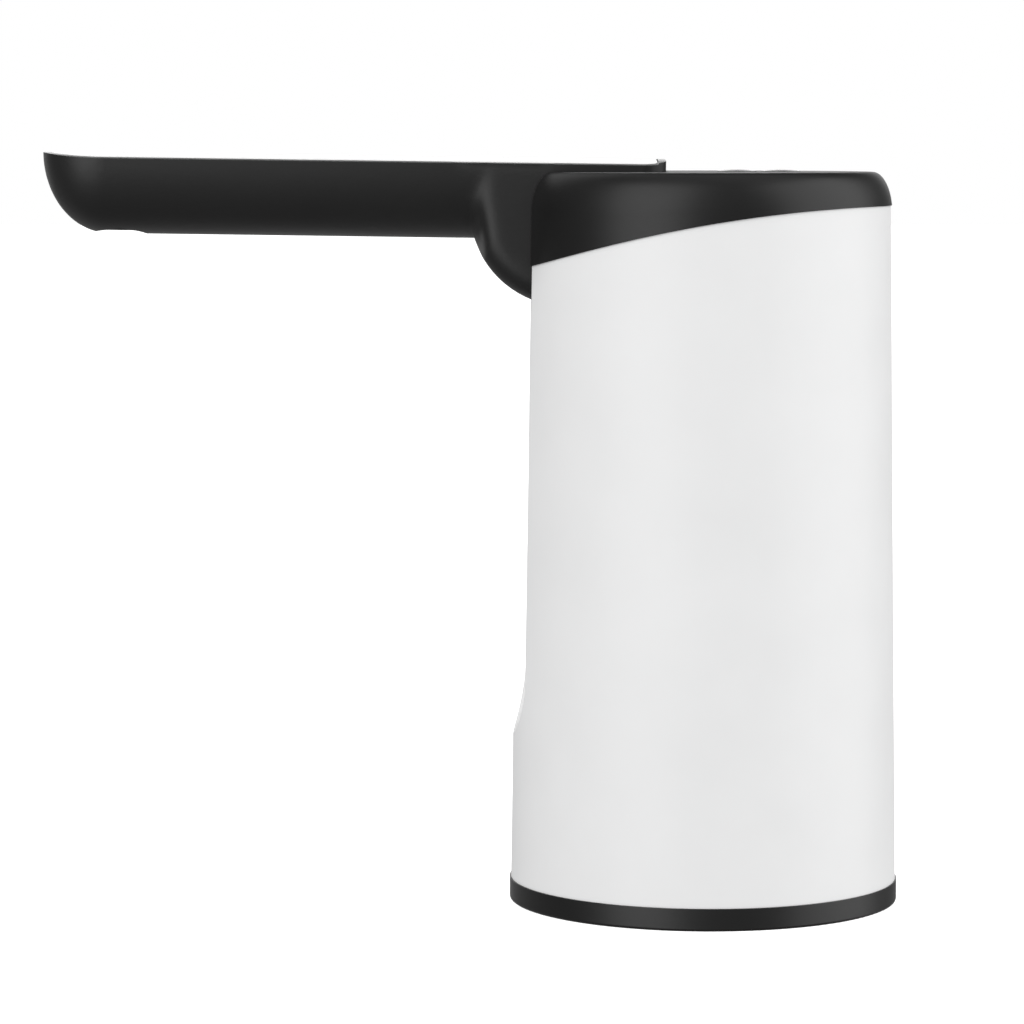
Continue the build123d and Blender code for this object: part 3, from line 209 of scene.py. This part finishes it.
def satin_plastic(name, color, edge_color, rough, grain_depth, mark=None, blended=None,
                  index=plastic_index):
    """Spark-eroded plastic: fine even grain, soft handling marks, edges rubbed a little lighter.

    A mark is printed on it in pale ink. Where it is blended, a large radius smooths its
    shading. Its upper rim is polished, and is painted lighter where it faces up as a painted
    highlight.
    """
    finish = Finish(name, IOR=index)
    handling = finish.noise(14 * MM, 3.0)
    grain = finish.noise(0.35 * MM, 2.0, 0.6)
    pits = finish.cells(0.22 * MM)
    rub = finish.edges(rubbed_edge) * (finish.noise(3 * MM, 4.0) + 0.2)
    base = finish.blend(rub.up_to(1), color, edge_color)
    shade = finish.blend(handling * 0.5, base, shaded(color, 1.12))
    if mark is not None:
        shade = finish.blend(mark(finish), shade, grey(0.75))
    dull = rough + (handling - 0.5) * 0.08 + (grain - 0.5) * 0.06 - rub * 0.08
    soft = finish.rounded(soft_edge)
    if blended is not None:
        # The rim that faces up is painted lighter as a painted highlight, and is polished to a
        # lower roughness
        rim_polish_and_highlight = upper_rim_polish_and_highlight(finish)
        shade = finish.blend(rim_polish_and_highlight, shade, edge_color)
        dull = dull - rim_polish_and_highlight * 0.2
        soft = finish.mix(blended(finish), soft, finish.rounded(flare_blend, 8))
    finish.feed("Base Color", shade)
    finish.feed("Roughness", dull)
    finish.feed("Normal", finish.bump(grain + pits * 0.5, grain_depth, 0.6, soft))
    return finish.material


def upper_rim_polish_and_highlight(finish):
    """1 on the arm's narrow rim that faces up, 0 on its sides: where polish and a painted highlight
    go.
    """
    rim_start, gain = 0.6, 5
    rise = finish.parts(finish.read("ShaderNodeTexCoord", "Normal"))[Z]
    return ((rise - rim_start) * gain).share()


def knuckle_flare(finish):
    """1 where the arm's sides swell out to the knuckle, 0 on the rest of the arm."""
    off = (finish.parts(finish.place)[X] - flare_middle).size()
    return (1 - (off - flare_half_length) / flare_fade).share()


def printed_mark(node, sign):
    """Sign printed on top of a button, upright for someone who faces the spout.

    The sign is drawn in shares of the button's radius.
    """
    low, high = (Vector(corner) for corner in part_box(node))
    middle = (low + high) / 2
    radius = (high.x - low.x) / 2

    def mask(finish):
        place = finish.parts(finish.place)
        return sign((middle.y - place[Y]) / radius, (place[X] - middle.x) / radius)

    return mask


def power_sign(across, along):
    """Open ring with an upright bar in its gap."""
    ring_radius, ring_half_line = 0.42, 0.07
    gap_half_width, bar_half_width = 0.18, 0.06
    bar_foot, bar_head = 0.08, 0.56
    reach = (across * across + along * along).root()
    gap = (across.size() < gap_half_width) * (along > 0)
    ring = ((reach - ring_radius).size() < ring_half_line) * (1 - gap)
    bar = (across.size() < bar_half_width) * (along > bar_foot) * (along < bar_head)
    return ring.at_least(bar)


def drop_sign(across, along):
    """Water drop with its point up: a ball with a tapered point on it."""
    ball_radius, ball_drop = 0.34, 0.14
    point_foot, point_tip, point_taper = 0.02, 0.56, 0.52
    height = along + ball_drop
    ball = (across * across + height * height).root() < ball_radius
    point = (across.size() < (point_tip - along) * point_taper) * (along > point_foot)
    return ball.at_least(point)


def gloss_plastic(name, color, edge_color, rough):
    """Polished moulded plastic with faint flow marks and hairline scuffs."""
    finish = Finish(name, IOR=polished_index)
    flow = finish.noise(22 * MM, 2.0)
    scuffs = finish.noise(0.9 * MM, 3.0, 0.6)
    rub = finish.edges(0.4 * MM) * (finish.noise(4 * MM, 3.0) + 0.1)
    finish.feed("Base Color", finish.blend(rub.up_to(1), color, edge_color))
    finish.feed("Roughness", rough + (flow - 0.5) * 0.06 + (scuffs - 0.5) * 0.05)
    finish.feed("Normal", finish.bump(flow, 0.02 * MM, 0.4, finish.rounded(0.15 * MM)))
    return finish.material


def soft_rubber(name, color, rough, milky=0.0):
    """Silicone or rubber: matt bloom with a fine tool grain."""
    finish = Finish(name, IOR=rubber_index, Subsurface_Weight=milky, Subsurface_Scale=2 * MM)
    bloom = finish.noise(5 * MM, 4.0)
    grain = finish.noise(0.5 * MM, 2.0)
    finish.feed("Base Color", finish.blend(bloom * 0.4, color, shaded(color, 0.8)))
    finish.feed("Roughness", rough + (bloom - 0.5) * 0.15)
    finish.feed("Normal", finish.bump(grain, 0.02 * MM, 0.5))
    return finish.material


def drawn_metal(name, color, rough, drawn_along):
    """Drawn or ground metal with fine lines along one axis and duller patches."""
    finish = Finish(name, Metallic=1.0)
    stretch = [1.0, 1.0, 1.0]
    stretch[drawn_along] = 0.05
    stretched = finish.read("ShaderNodeMapping", "Vector", None,
                            {"Vector": finish.place, "Scale": stretch})
    lines = finish.read("ShaderNodeTexNoise", "Fac", None,
                        {"Vector": stretched, "Scale": 1 / (0.12 * MM)})
    dull = finish.noise(6 * MM, 3.0)
    finish.feed("Base Color", finish.blend(dull * 0.5, color, shaded(color, 0.75)))
    finish.feed("Roughness", rough + (lines - 0.5) * 0.15 + (dull - 0.5) * 0.12)
    finish.feed("Normal", finish.bump(lines, 0.004 * MM, 0.5))
    return finish.material


# One finish for each material slot of the record, apart from the buttons' slot
finishes = {
    "body_white": satin_plastic("shell_white", grey(0.78, -0.002), grey(0.72), 0.42, fine_grain),
    "cap_black": satin_plastic("cap_satin_black", grey(0.008), grey(0.02), 0.40, coarse_grain),
    "ring_black": satin_plastic("ring_satin_black", grey(0.009), grey(0.02), 0.40, coarse_grain,
                                index=ring_index),
    "arm_black": satin_plastic("arm_satin_black", grey(0.013), grey(0.022), 0.43, coarse_grain,
                               blended=knuckle_flare),
    "cover_white": gloss_plastic("cover_white", grey(0.84), grey(0.78), 0.25),
    "spout_black": satin_plastic("spout_black", grey(0.02), grey(0.05), 0.40, fine_grain),
    "frame_black": satin_plastic("frame_black", grey(0.03), grey(0.06), 0.50, coarse_grain),
    "gasket_rubber": soft_rubber("gasket_silicone", grey(0.62, 0.01), 0.55, 0.3),
    "soft_black": soft_rubber("pad_rubber", grey(0.03), 0.75),
    "valve_rubber": soft_rubber("valve_rubber", (0.45, 0.07, 0.04, 1.0), 0.6),
    "tube_silicone": soft_rubber("tube_silicone", grey(0.65, 0.01), 0.35, 0.4),
    "fitting_white": gloss_plastic("fitting_natural", grey(0.6, 0.02), grey(0.5), 0.4),
    "pump_grey": gloss_plastic("pump_grey", grey(0.12), grey(0.2), 0.45),
    "motor_steel": drawn_metal("motor_steel", grey(0.55), 0.3, Z),
    "magnet_grey": soft_rubber("magnet_grey", grey(0.03), 0.7),
    "end_cap_white": gloss_plastic("end_cap_white", grey(0.6), grey(0.5), 0.45),
    "pin_steel": drawn_metal("pin_steel", grey(0.6), 0.22, Y),
    "bearing_bronze": drawn_metal("bearing_bronze", (0.45, 0.26, 0.12, 1.0), 0.4, Z),
    "terminal_brass": drawn_metal("terminal_brass", (0.62, 0.42, 0.14, 1.0), 0.3, Z),
    "screw_steel": drawn_metal("screw_steel", grey(0.42), 0.32, Z),
    "cell_wrap": gloss_plastic("cell_wrap", (0.02, 0.08, 0.28, 1.0), (0.05, 0.12, 0.3, 1.0), 0.3),
    "tab_nickel": drawn_metal("tab_nickel", grey(0.6, 0.03), 0.3, Y),
    "board_green": gloss_plastic("board_green", (0.01, 0.09, 0.03, 1.0),
                                 (0.02, 0.12, 0.05, 1.0), 0.35),
    "chip_black": satin_plastic("chip_black", grey(0.015), grey(0.03), 0.5, fine_grain),
    "socket_steel": drawn_metal("socket_steel", grey(0.5), 0.3, Y),
    "wire_red": soft_rubber("wire_red", (0.35, 0.01, 0.01, 1.0), 0.45),
    "wire_blue": soft_rubber("wire_blue", (0.01, 0.04, 0.28, 1.0), 0.45),
    "wire_white": soft_rubber("wire_white", grey(0.6), 0.45),
}

# The buttons have a finish each, because each carries its own sign
printed = {
    node: satin_plastic(node + "_black", grey(0.12), grey(0.15), 0.22, polished_grain,
                        mark=printed_mark(node, sign), index=button_index)
    for node, sign in (("front_button", drop_sign), ("rear_button", power_sign))
}

slot_of = {row["node"]: row["material_slot"] for row in frame["record"]["subparts"]}
for name, node in nodes.items():
    material = printed.get(name) or finishes[slot_of[name]]
    if node.data.materials:
        for index in range(len(node.data.materials)):
            node.data.materials[index] = material
    else:
        node.data.materials.append(material)


def floor():
    """Plain pale floor under the foot of the pump, clear when it is seen from below.

    It glows a little, so that it stays even, and it neither lights nor shades the pump.
    """
    bpy.ops.object.select_all(action="DESELECT")
    bpy.ops.mesh.primitive_plane_add(size=12, location=(0, 0, 0))
    plane = bpy.context.active_object
    plane.name = "floor"
    finish = Finish("floor_pale", Roughness=0.9, Specular_IOR_Level=0.2,
                    Emission_Color=grey(1.0), Emission_Strength=0.65)
    patches = finish.noise(0.4)
    finish.feed("Base Color", finish.blend(patches * 0.3, grey(0.96), grey(0.94)))
    below = finish.read("ShaderNodeNewGeometry", "Backfacing")
    clear = finish.read("ShaderNodeBsdfTransparent", "BSDF")
    solid = Tone(finish, finish.shader.outputs["BSDF"])
    both = finish.read("ShaderNodeMixShader", "Shader", None, {0: below, 1: solid, 2: clear})
    surface = finish.tree.nodes["Material Output"].inputs["Surface"]
    finish.tree.links.new(both.socket, surface)
    plane.data.materials.append(finish.material)
    plane.visible_glossy = False
    plane.visible_diffuse = False
    plane.visible_shadow = False


floor()


half_height = 0.07  # of the pump


def lamp(name, place, wide, tall, power, mirrored=True):
    """Soft box that faces the middle of the pump, and that gloss mirrors or not."""
    data = bpy.data.lights.new(name, "AREA")
    data.shape = "RECTANGLE"
    data.size = wide
    data.size_y = tall
    data.energy = power
    made = bpy.data.objects.new(name, data)
    scene.collection.objects.link(made)
    made.location = place
    aim = Vector((0, 0, half_height)) - Vector(place)
    made.rotation_euler = aim.to_track_quat("-Z", "Y").to_euler()
    made.visible_glossy = mirrored


lamp("left_front_box", (-0.50, -0.64, 0.33), 0.72, 1.3, 4.8)
lamp("right_box", (0.81, -0.13, 0.33), 1.15, 1.3, 6.6)
lamp("left_back_box", (-0.50, 0.62, 0.42), 0.6, 1.1, 0.9)
lamp("back_box", (0.25, 0.82, 0.38), 0.9, 1.1, 3.2, mirrored=False)
lamp("top_box", (0.05, 0.0, 0.9), 0.8, 0.8, 0.6)


# The room that gloss mirrors: dim, with a bright low band at the back
dim_walls = 0.075
front_wall = 0.075
back_floor = 0.7
band_light = 2.2
band_start = 0.85  # how straight back a ray goes where the band begins
band_gain = 6.7
band_rise = 0.16
band_half_height = 0.2

# The room that lights the pump: even, and brighter overhead
side_light = 0.44
sky_light = 0.5


def room():
    """White room, with one light for the pump's own color and another for its gloss."""
    world = bpy.data.worlds.new("studio_room")
    scene.world = world
    world.use_nodes = True
    world.cycles.sampling_method = "NONE"
    web = Web(world.node_tree)
    way = web.parts(web.read("ShaderNodeTexCoord", "Generated"))
    front = (way[Y] * -1).at_least(0)
    back = way[Y].at_least(0)
    down = (way[Z] * -1).at_least(0)
    up = way[Z].at_least(0)
    low = (1 - (up - band_rise).size() / band_half_height).at_least(0)
    band = ((back - band_start) * band_gain).at_least(0) * low
    mirrored = front * front * front_wall + band * band_light + back * down * back_floor + dim_walls
    ray = web.node("ShaderNodeLightPath")
    to_camera = Tone(web, ray.outputs["Is Camera Ray"])
    to_gloss = Tone(web, ray.outputs["Is Glossy Ray"])
    plain = web.between(to_camera, up * sky_light + side_light, 1.0)
    strength = web.between(to_gloss, plain, mirrored)
    background = web.tree.nodes["Background"]
    background.inputs["Color"].default_value = grey(1.0)
    web.tree.links.new(strength.socket, background.inputs["Strength"])


room()
scene.view_settings.view_transform = "Standard"

# The photograph's camera, worked out from the ellipses and edges of the pump
looking_down = 4.996  # degrees
camera_data = bpy.data.cameras.new("camera")
camera_data.lens = 150.48
camera_data.sensor_width = 36
camera_data.clip_start = 0.05
camera_data.clip_end = 20
camera = bpy.data.objects.new("camera", camera_data)
scene.collection.objects.link(camera)
camera.location = (-0.034592, -0.768182, 0.137235)
camera.rotation_euler = (math.radians(90 - looking_down), 0, 0)
scene.camera = camera
